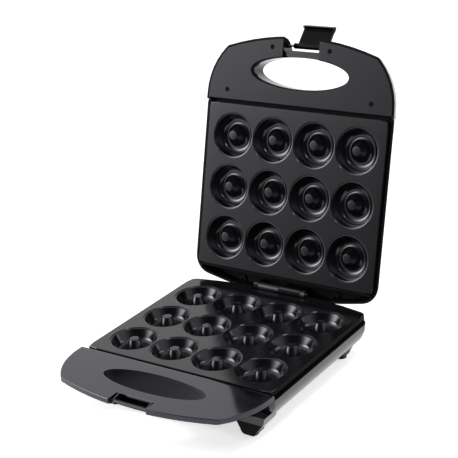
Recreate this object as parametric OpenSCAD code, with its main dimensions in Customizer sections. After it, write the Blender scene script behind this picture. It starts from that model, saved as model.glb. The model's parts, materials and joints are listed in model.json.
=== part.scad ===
// Ring cake maker: two cast plates with ring moulds in a hinged casing, with a front handle and a swinging latch.
// Origin on the table under the middle of the open maker, +Z up, front of the maker towards -Y, millimetres.
// Both halves are drawn from the plate face inwards: x across, y forwards from the hinge, -z into the casing.

/* [Ring moulds] */
// Number of rings across
ring_cols = 4; // [3:1:5]
// Number of rings from back to front
ring_rows = 3; // [2:1:4]
// Distance between ring centres across
ring_pitch_x = 54.2; // [54:0.1:58]
// Distance between ring centres from back to front
ring_pitch_y = 59.9; // [57:0.1:64]
// Outer diameter of a ring at the plate face
ring_d = 52; // [48:0.5:53]
// Depth of a ring below the plate face
ring_depth = 13; // [11:0.5:15]
// Radius of the rounded floor of a ring
ring_floor_r = 9; // [7:0.25:10]
// Diameter of the tip of the middle post
post_tip_d = 8.2; // [6:0.2:10]
// Wall of a ring
ring_wall = 1.8; // [1.4:0.1:2.4]
// Chamfer round the mouth of a ring
ring_lip = 0.9; // [0.4:0.1:1.2]

/* [Plates] */
// Plate left and right of the rings
plate_side = 9.5; // [8:0.1:14]
// Plate behind the rings
plate_back = 9; // [8:0.1:12]
// Plate in front of the rings
plate_front = 11; // [8:0.1:14]
// Thickness of the plate
plate_t = 2.4; // [1.8:0.1:3]
// Height of the skirt round the plate
plate_skirt = 5; // [4.9:0.1:7]
// Wall of the skirt
skirt_wall = 2.4; // [1.8:0.1:3]
// Radius of the rounded top edge
plate_edge_r = 1.5; // [1:0.1:2]
// Radius of the corners
plate_corner_r = 4.5; // [4:0.5:8]
// Gap between the two plate faces when closed
plate_gap = 1; // [0.6:0.1:2]
// Screw post diameter
plate_post_d = 9; // [8:0.5:11]

/* [Casing] */
// From the hinge axis to the back edge of the plates
hinge_gap = 14.7; // [14:0.1:18]
// Hinge axis above the joint between the halves
hinge_rise = 0.6; // [0:0.1:1.5]
// Base casing beyond the plate at each side
casing_lip = 3; // [2:0.1:4]
// Lid casing beyond the plate at each side
lid_lip = 5.2; // [3:0.1:6]
// Lid casing rim above the plate face
lid_rim_rise = 3; // [2:0.1:4]
// Wall of both casings
wall = 2.5; // [2:0.1:3]
// Open groove between the base plate and its casing
base_groove = 3.5; // [2:0.1:4.5]
// Open groove between the lid plate and its casing
lid_groove = 1.5; // [1:0.1:3]
// Depth of the base casing below the plate face
base_deep = 36; // [34:0.5:42]
// Height of the lid casing above the plate face
lid_deep = 38.5; // [36:0.5:44]
// How far the walls curve in at the bottom of the base
base_run = 34; // [24:1:40]
// How far the walls curve in at the top of the lid
lid_run = 46; // [30:1:52]
// How square the base casing edge is, from 2 (round) upwards
base_power = 2.6; // [2:0.1:4]
// How square the lid casing edge is, from 1 (straight) upwards
lid_power = 1.35; // [1.1:0.05:2]
// Back corner radius of the base casing
base_corner_r = 14; // [8:0.5:20]
// Back corner radius of the lid casing
lid_corner_r = 22; // [14:0.5:26]
// Back of the base casing behind the hinge axis, in the middle
base_back = 3; // [2:0.1:3.5]
// Back of the lid casing behind the hinge axis, in the middle
lid_back = 8.5; // [7:0.1:9]
// Radius of the bowed back walls
back_bow_r = 500; // [400:10:700]
// Depth of the ledge behind the base plate below the plate face
ledge_drop = 0.6; // [0.4:0.1:1.5]
// Depth of the hinge well in the lid
hinge_well = 18; // [14:0.5:20]

/* [Handles] */
// Gap between plate and handle
handle_seam = 2.5; // [2:0.1:4]
// Handle beyond the casing at each side
handle_step = 2.2; // [1:0.1:4]
// Depth of the handles from back to front
handle_len = 79; // [74:0.1:90]
// Radius of the bowed front edge
bow_r = 311; // [260:1:400]
// Radius of the curved sides
side_r = 78; // [70:1:90]
// Radius of the front corners
front_corner_r = 8; // [5:0.5:12]
// Straight part of the sides
side_straight = 6.6; // [4:0.1:12]
// Thickness of the handle panels
panel_t = 2.4; // [2:0.1:3]
// Height of the rim under the base panel
deck_rim = 5.5; // [4.5:0.1:7]
// Depth of the base handle below the plate face
base_handle_deep = 34; // [30:0.5:35]
// How far the base handle curves in underneath
base_handle_run = 58; // [50:1:62]
// Thickness of the lid handle
lid_handle_deep = 25; // [22:0.5:28]
// How far the lid handle curves in on top
lid_handle_run = 30; // [24:1:40]
// Rib between the lid plate and the handle panel
lid_rib = 2; // [1.4:0.1:3]
// Half width of the hand holes
hole_a = 63; // [56:0.5:68]
// Half depth of the hand holes
hole_b = 17.7; // [15:0.1:19]
// Front edge of the base hand hole to the front of the handle
base_hole_back = 27.6; // [26:0.1:30]
// Front edge of the lid hand hole to the front of the handle
lid_hole_back = 23.2; // [22.6:0.1:26]
// Wall of the hand holes
hole_wall = 2.2; // [1.8:0.1:3]
// Depth of the panel lip in the hand holes
hole_lip = 6; // [5:0.5:12]

/* [Latch] */
// Width of the notches for the latch
notch_w = 47; // [44:0.5:52]
// Depth of the notches from the front of the handle
notch_len = 16; // [14.6:0.1:17]
// Width of the latch
latch_w = 39; // [36:0.5:42]
// Latch pivot behind the front of the handle
pivot_back = 10.5; // [9.5:0.1:11]
// Latch pivot above the lid plate face
pivot_rise = 19.1; // [18:0.1:20]
// Diameter of the latch pin
latch_pin_d = 3; // [2.5:0.1:4]
// Wall round the latch pin
latch_boss_wall = 1.7; // [1.4:0.1:2]
// Arm behind the front of the handle when closed
arm_back = 5.6; // [5.2:0.1:7]
// Thickness of the latch arm
arm_t = 3.2; // [2.4:0.1:3.6]
// How far the hook reaches back from the arm
hook_reach = 4.5; // [3.5:0.1:5]
// Height of the hooked head
head_h = 5.4; // [4.5:0.1:7]
// Height of the catch bar
catch_h = 3.2; // [2.4:0.1:4]
// Depth of the catch bar from back to front
catch_t = 2; // [1.6:0.1:3]
// Catch bar below the base plate face
catch_drop = 2.5; // [2:0.1:4]

/* [Hinge] */
// Diameter of the hinge pin
hinge_pin_d = 4; // [3:0.1:5]
// Outer diameter of the knuckles
knuckle_d = 10.4; // [9.5:0.1:11.5]
// Length of each long knuckle
knuckle_len = 27.4; // [20:0.2:32]
// Length of each short knuckle
cheek_len = 5.4; // [4:0.2:9]
// Gap between knuckles
knuckle_gap = 0.8; // [0.6:0.1:1.5]

/* [Legs] */
// Height of the casing bottom above the table
ground = 14.9; // [12:0.1:20]
// Diameter of a foot pad
pad_d = 12; // [9:0.5:13]
// Height of a foot pad
pad_h = 2.5; // [2:0.1:4]
// Distance from the middle to each foot
foot_x = 92; // [86:0.5:96]
// Front feet behind the front of the handle
front_foot_back = 81; // [70:0.5:90]
// Back feet in front of the hinge axis
back_foot_fwd = 27; // [25:0.5:40]
// Width of a front leg at the top
front_leg_w = 36; // [30:1:40]
// Width of a back leg at the top
back_leg_w = 20; // [16:1:26]
// Thickness of the front legs
front_leg_t = 24; // [18:0.5:28]
// Thickness of the back legs
back_leg_t = 19; // [16:0.5:22]

/* [Inside] */
// Diameter of the heating element
heater_d = 6.5; // [5.5:0.1:8]
// Thickness of the reflectors
sheet_t = 0.8; // [0.6:0.1:1.2]
// Height of the reflector rim
sheet_rim = 2.2; // [1.5:0.1:2.6]
// Thickness of the element clips
clip_t = 1; // [0.8:0.1:1.2]
// Width of the element clips
clip_w = 10; // [8:0.5:12]
// Diameter of the thermostat
thermostat_d = 17; // [14:0.5:18]
// Height of the thermostat
thermostat_h = 7; // [5:0.5:7.5]
// Diameter of the thermal fuse
fuse_d = 4; // [3:0.1:5]
// Diameter of an insulated wire
wire_d = 3; // [2.4:0.1:3.6]
// Diameter of the plate screws
screw_d = 4; // [3.5:0.1:4.5]
// Diameter of the panel screws
small_screw_d = 3; // [2.5:0.1:3.2]
// Diameter of a small screw head
small_head_d = 5; // [4.6:0.1:5.4]
// Diameter of a pilot lamp lens
lens_d = 8; // [6:0.5:10]

/* [Cord gland] */
// Bore of the gland for the power cord
gland_bore_d = 7.2; // [6:0.1:9]
// Outer diameter of the gland
gland_d = 12; // [10.5:0.1:14]
// Length of the gland outside the wall
gland_out = 7; // [5:0.5:14]

/* [Fits] */
// Radial clearance of a running pin
run_fit = 0.05; // [0.02:0.01:0.1]
// Gap between pieces that are fitted together
fit = 0.15; // [0.1:0.05:0.3]
// Gap between pieces that move past each other
move_gap = 0.5; // [0.4:0.1:1]

/* [Open position] */
// Angle of the open lid
lid_open = 105.66; // [95:0.01:108]
// Angle of the open latch from its closed place
latch_open = 120.5; // [90:0.5:125]

/* [Hidden] */
$fn = 64;
thin = 0.01;
over = 1;

// plates
plate_w = (ring_cols - 1) * ring_pitch_x + ring_d + 2 * plate_side;
plate_len = (ring_rows - 1) * ring_pitch_y + ring_d + plate_back + plate_front;
plate_hw = plate_w / 2;
plate_y0 = hinge_gap;
plate_y1 = plate_y0 + plate_len;
ring_mid_y = plate_y0 + plate_back + (ring_d + (ring_rows - 1) * ring_pitch_y) / 2;
ring_r = ring_d / 2;
ring_mid_r = ring_r - ring_floor_r;
floor_drop = ring_depth - ring_floor_r;
post_tip_r = post_tip_d / 2;
post_tan = ring_mid_r - post_tip_r;
post_dist = norm([post_tan, floor_drop]);
post_dir = -atan2(floor_drop, post_tan) - asin(ring_floor_r / post_dist);
post_run = sqrt(pow(post_dist, 2) - pow(ring_floor_r, 2));
floor_centre = [ring_mid_r, -floor_drop];
post_side = 360 + post_dir - 90;
post_back = [post_tip_r - ring_wall * sin(-post_dir) + (plate_t - ring_wall * cos(post_dir)) / tan(-post_dir), 0];
wells_deep = ring_depth + ring_wall;

// casings, measured from the plate face
casing_hw = plate_hw + casing_lip;
lid_hw = plate_hw + lid_lip;
base_rim = plate_skirt + base_groove;
lid_rim = plate_skirt + lid_groove;
handle_y0 = plate_y1 + handle_seam;
handle_y1 = handle_y0 + handle_len;
handle_hw = casing_hw + handle_step;
rest_hw = plate_hw - skirt_wall - fit;
rest_wall = 2;
well_stay = 14;
panel_gap = 0.8;
handle_root = 40;
base_face_z = -(hinge_rise + plate_gap / 2);
lid_face_z = -hinge_rise + plate_gap / 2;
body_steps = [0, 0.15, 0.32, 0.56, 0.78, 0.93, 1];
handle_steps = [0, 0.3, 0.65, 1];
lid_handle_steps = [0, 0.4, 0.62, 0.78, 0.9, 0.98, 1];

// inside, measured from the plate face
heater_r = heater_d / 2;
heater_z = -(wells_deep + heater_r + fit);
heater_y0 = ring_mid_y - (ring_rows - 1) / 2 * ring_pitch_y + ring_mid_r;
heater_y1 = ring_mid_y + (ring_rows - 1) / 2 * ring_pitch_y - ring_mid_r;
heater_bend_r = (heater_y1 - heater_y0) / 2;
heater_end_x = plate_hw - 27;
collar = 1.2;
sheet_hw = heater_end_x - 4;
sheet_y0 = plate_y0 + 22;
sheet_y1 = plate_y1 - 22;
heater_turn_x = -heater_end_x + heater_bend_r;
pin_end_x = heater_end_x + 9 + wire_d / 2 + 1.4;
riser_x = heater_end_x + 2;
sheet_z = -(wells_deep + heater_d + fit + clip_t + 1.2);
clip_z = -(wells_deep + heater_d + fit);
sensor_deep = wells_deep - 3;
cell_x = ring_pitch_x;
wire_z = sheet_z - sheet_t - wire_d / 2 - 1;
cell_y = ring_pitch_y / 2;
post_y = [ring_mid_y - cell_y, ring_mid_y + cell_y];

// latch, in the closed lid
notch_hw = notch_w / 2;
latch_hw = latch_w / 2;
notch_y = handle_y1 - notch_len;
pivot_y = handle_y1 - pivot_back;
pivot_z = lid_face_z + pivot_rise;
pin_r = latch_pin_d / 2;
boss_r = pin_r + latch_boss_wall;
arm_y = handle_y1 - arm_back;
catch_y1 = arm_y - fit * 2;
catch_y0 = catch_y1 - catch_t;
catch_z1 = base_face_z - catch_drop;
catch_z0 = catch_z1 - catch_h;
hook_z = catch_z0 - 0.4;
tip_z = hook_z - head_h;
latch_profile = [
    [arm_y, pivot_z - boss_r - 2], [arm_y, hook_z], [arm_y - hook_reach, hook_z - 0.3],
    [arm_y - hook_reach, hook_z - 1.2], [arm_y + 0.4, tip_z], [arm_y + arm_t, tip_z],
    [arm_y + arm_t + 0.6, tip_z + 1.2], [arm_y + arm_t + 0.6, hook_z], [arm_y + arm_t, hook_z + 1.5],
    [arm_y + arm_t, pivot_z - boss_r - 1], [arm_y + arm_t - 0.8, pivot_z - 1.2], [pivot_y + 1, pivot_z + boss_r - 0.3],
    [pivot_y, pivot_z], [pivot_y + 1, pivot_z - boss_r + 0.4]];

// hinge
hinge_pin_r = hinge_pin_d / 2;
knuckle_r = knuckle_d / 2;
cheek_x0 = knuckle_len + 1.5 * knuckle_gap;
cheek_x1 = cheek_x0 + cheek_len;
hinge_hw = cheek_x1 + 2;
hinge_floor = knuckle_r + 1.7;
stop_hw = cheek_x1 + 16;
lid_stop = (base_back + 0.3 - lid_back * cos(lid_open)) / sin(lid_open) - lid_face_z;
ear_hole_d = 3;

// where the origin lies
foot_z = base_face_z - base_deep - ground;
hinge_z = -foot_z;
function open_reach(p) = -p.x * cos(lid_open) + p.y * sin(lid_open);
function swung(p, a) = [pivot_y + (p.x - pivot_y) * cos(a) - (p.y - pivot_z) * sin(a),
    pivot_z + (p.x - pivot_y) * sin(a) + (p.y - pivot_z) * cos(a)];
front_reach = handle_y1 - bow_r + sqrt(pow(bow_r, 2) - pow(notch_hw, 2));
back_reach = max([for (p = latch_profile) open_reach(swung(p, latch_open))]);
hinge_y = (front_reach - back_reach) / 2;

// ---------- outlines ----------

// Points on an arc
function arc(c, r, a0, a1, n) = [for (i = [0:n])
    c + r * [cos(a0 + (a1 - a0) * i / n), sin(a0 + (a1 - a0) * i / n)]];
// A right-hand half outline, closed by its mirror image
function both_sides(p) = concat(p, [for (i = [len(p) - 1:-1:0]) if (p[i].x > 0.001) [-p[i].x, p[i].y]]);
// The outer crossing of two circles
function meet(c1, r1, c2, r2) =
    let (d = norm(c2 - c1), a = (r1 * r1 - r2 * r2 + d * d) / (2 * d), h = sqrt(r1 * r1 - a * a), u = (c2 - c1) / d)
    c1 + a * u + h * [u.y, -u.x];
// Share of the inward curve at a share t of the depth, on a superellipse
function curl(t, p) = 1 - pow(1 - pow(min(t, 1), p), 1 / p);
// Casing outline: half width, bowed back, straight front, back and front corner radii
function pan(hw, yb, y1, rb, rf) =
    let (c = yb + back_bow_r, cy = c - sqrt(pow(back_bow_r - rb, 2) - pow(hw - rb, 2)), a = atan2(cy - c, hw - rb))
    both_sides(concat(arc([0, c], back_bow_r, -90, a, 4), arc([hw - rb, cy], rb, a * 5 / 6, 0, 5),
        arc([hw - rf, y1 - rf], rf, 0, 90, 4)));
// Handle outline, inset from its edge
function handle(inset, y0) =
    let (hw = handle_hw, c1 = [0, handle_y1 - bow_r], c2 = [hw - side_r, handle_y0 + side_straight],
        cr = max(front_corner_r - inset, 2), c3 = meet(c1, bow_r - inset - cr, c2, side_r - inset - cr),
        a1 = atan2(c3.y - c2.y, c3.x - c2.x), a2 = atan2(c3.y - c1.y, c3.x - c1.x))
    both_sides(concat([[hw - inset, y0]], arc(c2, side_r - inset, 0, a1, 6), arc(c3, cr, a1, a2, 3),
        arc(c1, bow_r - inset, a2, 90, 6)));
function oval(grow, cy, n = 48) = [for (i = [0:n - 1])
    [(hole_a + grow) * cos(360 * i / n), cy + (hole_b + grow) * sin(360 * i / n)]];
base_hole_y = handle_y1 - base_hole_back - hole_b;
lid_hole_y = handle_y1 - lid_hole_back - hole_b;
panel_screws = [[notch_hw + 13.5, handle_y1 - 13.5], [handle_hw - 28, handle_y0 + 13]];

// ---------- places ----------

module in_base() translate([0, hinge_y, hinge_z]) mirror([0, 1, 0]) children();
module on_base_face() in_base() translate([0, 0, base_face_z]) children();
module in_lid() translate([0, hinge_y, hinge_z]) rotate([-lid_open, 0, 0]) mirror([0, 1, 0]) children();
module on_lid_face() in_lid() translate([0, 0, lid_face_z]) mirror([0, 0, 1]) children();
module in_latch() in_lid() translate([0, pivot_y, pivot_z]) rotate([latch_open, 0, 0])
    translate([0, -pivot_y, -pivot_z]) children();
module both_x() for (s = [-1, 1]) scale([1, 1, 1]) mirror([s < 0 ? 1 : 0, 0, 0]) children();
module ring_places() for (i = [0:ring_cols - 1], j = [0:ring_rows - 1])
    translate([(i - (ring_cols - 1) / 2) * ring_pitch_x, ring_mid_y + (j - (ring_rows - 1) / 2) * ring_pitch_y, 0]) children();
module post_places() for (s = [-1, 1], y = post_y) translate([s * cell_x, y, 0]) children();
module panel_screw_places() both_x() for (p = panel_screws) translate([p.x, p.y, 0]) children();

// ---------- shared shapes ----------

module round_rect(hw, y0, y1, r) {
    translate([-hw + r, y0]) square([2 * (hw - r), y1 - y0]);
    translate([-hw, y0 + r]) square([2 * hw, y1 - y0 - 2 * r]);
    for (sx = [-1, 1], y = [y0 + r, y1 - r]) translate([sx * (hw - r), y]) circle(r);
}
module slab(z0, z1) translate([0, 0, z0]) linear_extrude(z1 - z0) children();
// A (y, z) profile carried across x
module across(x0, x1) translate([x0, 0, 0]) rotate([90, 0, 90]) linear_extrude(x1 - x0) children();
module rod(x0, x1, r) translate([x0, 0, 0]) rotate([0, 90, 0]) cylinder(h = x1 - x0, r = r);
module tube_part(z0, z1, r) translate([0, 0, z0]) cylinder(h = z1 - z0, r = r);

// Slab with its top edge rounded: top at z = 0
module soft_slab(hw, y0, y1, h, cr, er) {
    slab(-h, -er) round_rect(hw, y0, y1, cr);
    slab(-er, 0) round_rect(hw - er, y0 + er, y1 - er, cr - er);
    for (y = [y0 + er, y1 - er]) translate([0, y, -er]) rod(-hw + cr, hw - cr, er);
    for (s = [-1, 1]) translate([s * (hw - er), y0 + cr, -er]) rotate([-90, 0, 0])
        cylinder(h = y1 - y0 - 2 * cr, r = er);
    for (sx = [-1, 1], y = [y0 + cr, y1 - cr]) translate([sx * (hw - cr), y, -er]) rotate_extrude()
        translate([cr - er, 0]) circle(er);
}

// Ring mould: what the cake fills
module ring_space() rotate_extrude() polygon(concat([[post_tip_r, over], [post_tip_r, 0]],
    arc(floor_centre, ring_floor_r, post_side, 360, 9),
    [[ring_r, -ring_lip], [ring_r + ring_lip, 0], [ring_r + ring_lip, over]]));
// Ring mould: its metal, open behind the post
module ring_metal() rotate_extrude() polygon(concat([[0, -plate_t / 2], [0, -plate_t], [post_back.x, -plate_t]],
    arc(floor_centre, ring_floor_r + ring_wall, post_side, 360, 6), [[ring_r + ring_wall, -plate_t / 2]]));

// Cast plate: face at z = 0, rings below it
module cast_plate(post_deep) difference() {
    union() {
        difference() {
            soft_slab(plate_hw, plate_y0, plate_y1, plate_skirt, plate_corner_r, plate_edge_r);
            slab(-plate_skirt - over, -plate_t) round_rect(plate_hw - skirt_wall, plate_y0 + skirt_wall,
                plate_y1 - skirt_wall, plate_corner_r - skirt_wall);
        }
        ring_places() ring_metal();
        post_places() tube_part(-post_deep, -plate_t / 2, plate_post_d / 2);
        translate([0, post_y[1], 0]) tube_part(-sensor_deep, -plate_t / 2, 4);
    }
    ring_places() ring_space();
    post_places() tube_part(-post_deep - over, -post_deep + 9, screw_d / 2);
}

// Heating element: a U laid on the ring bottoms, with cold pins at its ends
module heater() translate([0, 0, heater_z]) {
    for (y = [heater_y0, heater_y1]) translate([0, y, 0]) {
        rod(heater_turn_x + fit, heater_end_x, heater_r);
        rod(heater_turn_x - collar, heater_turn_x + collar, heater_r + 0.8 * fit);
        rod(heater_end_x - collar, heater_end_x + 3, heater_r + 0.8 * fit);
        rod(heater_end_x + 3 - collar, heater_end_x + 9, 1.2);
    }
    translate([heater_turn_x, ring_mid_y, 0]) rotate([0, 0, 90]) rotate_extrude(angle = 180)
        translate([heater_bend_r, 0]) circle(heater_r);
}

// Sheet clips that span the element from post to post
module heater_clips() for (s = [-1, 1], k = [0, 1]) {
    hy = k == 0 ? heater_y0 : heater_y1;
    py = post_y[k];
    dir = k == 0 ? -1 : 1;
    translate([s * cell_x, 0, 0]) difference() {
        union() {
            across(-clip_w / 2, clip_w / 2) polygon([for (q = [
                [py - dir * 5, clip_z - clip_t], [hy + dir * (heater_r + 2), clip_z - clip_t],
                [hy + dir * (heater_r + 2), clip_z], [py - dir * 5, clip_z]]) q]);
            across(-clip_w / 2, clip_w / 2) polygon([
                [hy + dir * (heater_r + 1), clip_z - clip_t], [hy + dir * (heater_r + 2), clip_z - clip_t],
                [hy + dir * (heater_r + 2), clip_z + 4], [hy + dir * (heater_r + 1), clip_z + 4]]);
        }
        translate([0, py, 0]) tube_part(clip_z - 5, clip_z + 5, screw_d / 2 + 0.3);
    }
}

// Folded sheet tray behind the element
module reflector(hw, y0, y1) difference() {
    slab(sheet_z - sheet_t, sheet_z - sheet_t + sheet_rim) round_rect(hw, y0, y1, 8);
    slab(sheet_z, sheet_z + sheet_rim) round_rect(hw - sheet_t, y0 + sheet_t, y1 - sheet_t, 8 - sheet_t);
    post_places() tube_part(sheet_z - 5, sheet_z + 5, screw_d / 2 + 0.5);
}

// Wire through a list of points, with a splice at each turn
module wire(pts, $fn = 20) for (i = [0:len(pts) - 2]) {
    d = pts[i + 1] - pts[i];
    translate(pts[i]) rotate([0, acos(d.z / norm(d)), atan2(d.y, d.x)]) cylinder(h = norm(d), r = wire_d / 2);
    if (i > 0) translate(pts[i]) cube(wire_d + 1.4, center = true);
}

// Form of a casing: rim at -z0, deepest at -z1, walls curved in by run, smaller all round by skin
module casing_form(hw, back, corner, z0, z1, run, power, back_stay, skin, lift) hull() for (t = body_steps) {
    in = run * curl(t, power);
    translate([0, 0, -(t == 0 ? z0 - lift : z0 + t * (z1 - z0 - skin))]) linear_extrude(thin)
        polygon(pan(hw - in - skin, max(in - back_stay, 0) + skin - back, handle_y0 + 1.5 - in - skin,
            max(corner + 0.8 * in - skin, 3), 6 + 0.8 * in));
}
module base_form(skin, lift)
    casing_form(casing_hw, base_back, base_corner_r, base_rim, base_deep, base_run, base_power, 0, skin, lift);
module lid_form(skin, lift)
    casing_form(lid_hw, lid_back, lid_corner_r, lid_rim_rise, lid_deep, lid_run, lid_power, well_stay, skin, lift);
// Form of a handle: rim at -z0, deepest at -z1
module handle_form(z0, z1, run, power, steps, skin, lift) hull() for (t = steps) {
    in = run * (power < 2 ? pow(t, power) : curl(t, power));
    translate([0, 0, -(t == 0 ? z0 - lift : z0 + t * (z1 - z0 - skin))]) linear_extrude(thin)
        polygon(handle(in + skin, handle_y0 + skin - handle_root * pow(max(t - 0.3, 0), 2)));
}
module base_handle_form(skin, lift)
    handle_form(deck_rim + fit, base_handle_deep, base_handle_run, 1, handle_steps, skin, lift);
module lid_handle_form(skin, lift)
    handle_form(0.6, lid_handle_deep, lid_handle_run, 2, lid_handle_steps, skin, lift);

// Knuckle profile: barrel and web towards its casing, in (y, z) round the hinge axis
module knuckle_profile(side, reach, back) {
    circle(knuckle_r);
    polygon([[-knuckle_r * 0.9, 0], [knuckle_r * 0.9, 0], [knuckle_r, side * reach], [-back, side * reach]]);
}

// ---------- base ----------

module base_shell() color([0.34, 0.34, 0.36]) in_base() difference() {
    union() {
        translate([0, 0, base_face_z]) difference() {
            union() {
                base_form(0, 0);
                base_handle_form(0, 0);
                translate([0, 0, -base_face_z]) {
                    front_legs();
                    back_legs();
                }
                gland_boss();
            }
            base_form(wall, 2);
            base_handle_form(wall, 2);
        }
        translate([0, 0, base_face_z]) {
            difference() {
                rest_frame(base_rim, casing_hw - 0.4, 0.4 - base_back, base_corner_r - 0.4);
                ledge_hollow();
            }
            hinge_ledge();
            intersection() {
                union() {
                    hole_tube(base_hole_y, base_handle_deep);
                    both_x() notch_side(-base_handle_deep, -deck_rim - fit);
                    panel_screw_places() tube_part(-base_handle_deep, -deck_rim - 1.5, small_screw_d / 2 + 2.4);
                }
                base_handle_form(0.3, 0);
            }
            intersection() {
                union() {
                    post_places() tube_part(-base_deep + 1, sheet_z - sheet_t, 5);
                    gland_boss();
                }
                base_form(0.3, 0);
            }
            catch_bar();
        }
        base_knuckles(hinge_floor + 1);
    }
    translate([0, 0, base_face_z]) {
        slab(-base_deep - 9, 0) polygon(oval(0, base_hole_y));
        slab(-base_deep, 0) notch_shape(notch_hw, handle_y1 + 9, catch_y1);
        slab(-base_deep, -catch_drop - catch_h)
            notch_shape(latch_hw + move_gap, catch_y1 + 1, catch_y0 - hook_reach);
        post_places() {
            tube_part(-base_deep - 9, sheet_z + 5, screw_d / 2 + 0.3);
            tube_part(-base_deep - 9, -base_deep + 3.5, screw_d + 0.4);
        }
        panel_screw_places() {
            tube_part(-base_deep - 9, 0, small_screw_d / 2 + 0.2);
            tube_part(-base_deep - 9, -screw_seat, small_head_d / 2 + 0.5);
        }
        gland_place() translate([0, 0, -gland_boss_len - 9])
            cylinder(h = gland_boss_len + 18, r = gland_neck_r + fit / 3);
    }
    difference() {
        translate([-hinge_hw, -base_back - over, -hinge_floor])
            cube([2 * hinge_hw, base_back + over + knuckle_r + 1.4, 40]);
        base_knuckles(hinge_floor + over);
    }
    rod(-cheek_x1 - 1, cheek_x1 + 1, hinge_pin_r + fit / 10);
}
module base_knuckles(reach) for (x = [[-knuckle_len - knuckle_gap / 2, -knuckle_gap / 2], [cheek_x0, cheek_x1]])
    across(x[0], x[1]) knuckle_profile(-1, reach, base_back - 0.1);
screw_seat = 9;
gland_neck_r = gland_d / 2 - 1.6;
gland_x = plate_hw / 2;
gland_drop = -17;
gland_y = -base_back + 1.5;
gland_boss_len = 11;
module gland_place() translate([gland_x, gland_y, gland_drop]) rotate([90, 0, 0]) children();
module gland_boss() gland_place() translate([0, 0, -gland_boss_len])
    cylinder(h = gland_boss_len, r = gland_d / 2 + 2);
// Tunnel round a hand hole
module hole_tube(cy, deep) slab(-deep, -hole_lip - fit) difference() {
    polygon(oval(hole_wall, cy));
    polygon(oval(0, cy));
}
// Raised ledge behind the base plate
module hinge_ledge() difference() {
    slab(-base_rim - wall, -ledge_drop) intersection() {
        polygon(pan(plate_hw, -base_back, handle_y0, 10, 3));
        translate([-plate_hw, -base_back - over]) square([2 * plate_hw, plate_y0 - 0.3 + base_back + over]);
    }
    ledge_hollow();
}
module ledge_hollow() both_x() slab(-base_rim - wall - over, -ledge_drop - wall) intersection() {
    polygon(pan(plate_hw - wall, -base_back + wall, handle_y0, 8, 3));
    translate([hinge_hw + 3, -base_back]) square([plate_hw, plate_y0 - 0.3 - wall + base_back]);
}

// Upstand that carries the plate, and the flange round it
module rest_frame(rim, hw, yb, corner) {
    slab(-rim - wall, -rim) difference() {
        polygon(pan(hw, yb, handle_y0 + 1, corner, 4));
        round_rect(rest_hw - rest_wall, plate_y0 + skirt_wall + fit + rest_wall,
            plate_y1 - skirt_wall - fit - rest_wall, 4);
    }
    slab(-rim - wall, -plate_t - fit) difference() {
        round_rect(rest_hw, plate_y0 + skirt_wall + fit, plate_y1 - skirt_wall - fit,
            plate_corner_r - skirt_wall - fit);
        round_rect(rest_hw - rest_wall, plate_y0 + skirt_wall + fit + rest_wall,
            plate_y1 - skirt_wall - fit - rest_wall, 2);
    }
}
module notch_shape(hw, y1, y0) translate([-hw, y0]) square([2 * hw, y1 - y0]);
module notch_side(z0, z1) slab(z0, z1) translate([notch_hw, notch_y - 2]) square([2, notch_len + 2]);
module notch_walls(z0, z1) slab(z0, z1) difference() {
    notch_shape(notch_hw + 2, handle_y1, notch_y - 2);
    notch_shape(notch_hw, handle_y1 + 9, notch_y);
}
// Bar that the latch hooks under, with a rib and a foot at each end
module catch_bar() {
    translate([-notch_hw + fit, catch_y0, -catch_drop - catch_h]) cube([notch_w - 2 * fit, catch_t, catch_h]);
    both_x() {
        across(latch_hw + move_gap, latch_hw + move_gap + 1.2) polygon([
            [notch_y + fit, -0.6], [notch_y + 2, -0.6],
            [catch_y1, -catch_drop], [catch_y1, -catch_drop - catch_h], [notch_y + fit, -catch_drop - catch_h - 3]]);
        translate([latch_hw + move_gap, notch_y + fit, -deck_rim - fit - 2])
            cube([notch_hw - latch_hw + 1, catch_y1 - notch_y - fit, 2]);
    }
}

// Leg that tapers both ways, with a rounded foot
module leg(profile, y, t, t_top, z_top) intersection() {
    translate([0, y + t_top, 0]) rotate([90, 0, 0]) linear_extrude(2 * t_top) polygon(profile);
    across(foot_x - 60, foot_x + 60) polygon([[y - t / 2, leg_z], [y - t_top / 2, z_top], [y - t_top / 2, z_top + 9],
        [y + t_top / 2, z_top + 9], [y + t_top / 2, z_top], [y + t / 2, leg_z]]);
}
leg_z = foot_z + pad_h - 1.2;
function leg_points(w_top, w_foot, x_out, z_top, lean) = concat(
    [[x_out - w_top, z_top], [foot_x - w_foot / 2, leg_z + 4]],
    arc([foot_x - w_foot / 2 + 4, leg_z + 4], 4, 180, 270, 4), arc([foot_x + w_foot / 2 - 4, leg_z + 4], 4, 270, 360, 4),
    [[x_out - lean, z_top - 4], [x_out, z_top + 6]]);
leg_top_z = base_face_z - base_deep;
module front_legs() both_x() leg(leg_points(front_leg_w, 17, casing_hw - 4, leg_top_z + 9, 3),
    handle_y1 - front_foot_back, 15, front_leg_t, leg_top_z + 4);
module back_legs() both_x() leg(leg_points(back_leg_w, 14, casing_hw - 13, leg_top_z + 7, 1),
    back_foot_fwd, 14, back_leg_t, leg_top_z + 4);

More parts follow.
